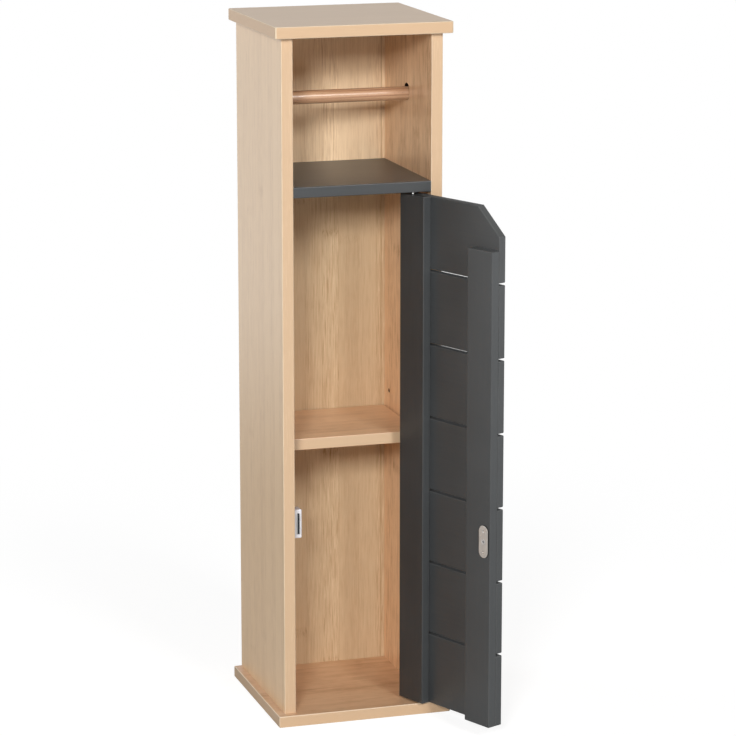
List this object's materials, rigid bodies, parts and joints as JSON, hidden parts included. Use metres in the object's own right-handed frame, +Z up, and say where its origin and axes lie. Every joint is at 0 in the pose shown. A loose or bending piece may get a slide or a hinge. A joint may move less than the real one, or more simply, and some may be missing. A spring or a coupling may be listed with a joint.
{
  "type": "toilet paper stand",
  "caption": "Tall narrow bamboo cabinet with a roll rod in an open niche, an adjustable shelf and a grey slatted door on pivot pins.",
  "frame": {"origin": "middle of the base board's underside, on the floor", "axes": "+Z up along the cabinet's height, -Y towards the open front, +X to the right as seen from the front"},
  "size_m": [0.2249, 0.3034, 0.78],
  "materials": {
    "bamboo_board": "clear satin lacquer on pale bamboo board",
    "grey_paint": "matt charcoal grey paint on board",
    "beech": "plain turned hardwood",
    "dowel_wood": "raw hardwood",
    "bright_steel": "bright zinc plated",
    "zinc_screw": "zinc plated",
    "satin_nickel": "satin nickel plated",
    "white_plastic": "smooth moulded",
    "nylon": "black moulded nylon",
    "ferrite": "pressed ferrite"
  },
  "bodies": {
    "carcass": {"top_board": "bamboo_board", "base_board": "bamboo_board", "left_side_panel": "bamboo_board", "right_side_panel": "bamboo_board", "back_panel": "bamboo_board", "divider_shelf": "grey_paint", "shelf_pegs": "bright_steel", "upper_pivot_bush": "nylon", "lower_pivot_bush": "nylon", "catch_housing": "white_plastic", "catch_magnet": "ferrite", "catch_pole_plates": "bright_steel", "catch_screws": "zinc_screw", "carcass_dowels": "dowel_wood", "base_screws": "zinc_screw"},
    "door": {"hinge_stile": "grey_paint", "latch_stile": "grey_paint", "door_slat_1": "grey_paint", "door_slat_2": "grey_paint", "door_slat_3": "grey_paint", "door_slat_4": "grey_paint", "door_slat_5": "grey_paint", "door_slat_6": "grey_paint", "door_slat_7": "grey_paint", "upper_pivot_pin": "bright_steel", "lower_pivot_pin": "bright_steel", "strike_plate": "satin_nickel", "strike_screw": "zinc_screw", "slat_dowels": "dowel_wood"},
    "roll_rod": {"roll_rod": "beech"},
    "adjustable_shelf": {"adjustable_shelf": "bamboo_board"}
  },
  "joints": [
    {"name": "door_hinge", "type": "hinge", "parent": "carcass", "child": "door", "pos_m": [0.06051, -0.0777, 0.302], "axis": [0, 0, 1], "range_deg": [-113.25, 0]},
    {"name": "rod_spin", "type": "hinge", "parent": "carcass", "child": "roll_rod", "pos_m": [0, -0.001, 0.6905], "axis": [1, 0, 0], "continuous": true},
    {"name": "shelf_lift", "type": "slide", "parent": "carcass", "child": "adjustable_shelf", "axis": [0, 0, 1], "range_m": [0, 0.034]}
  ]
}
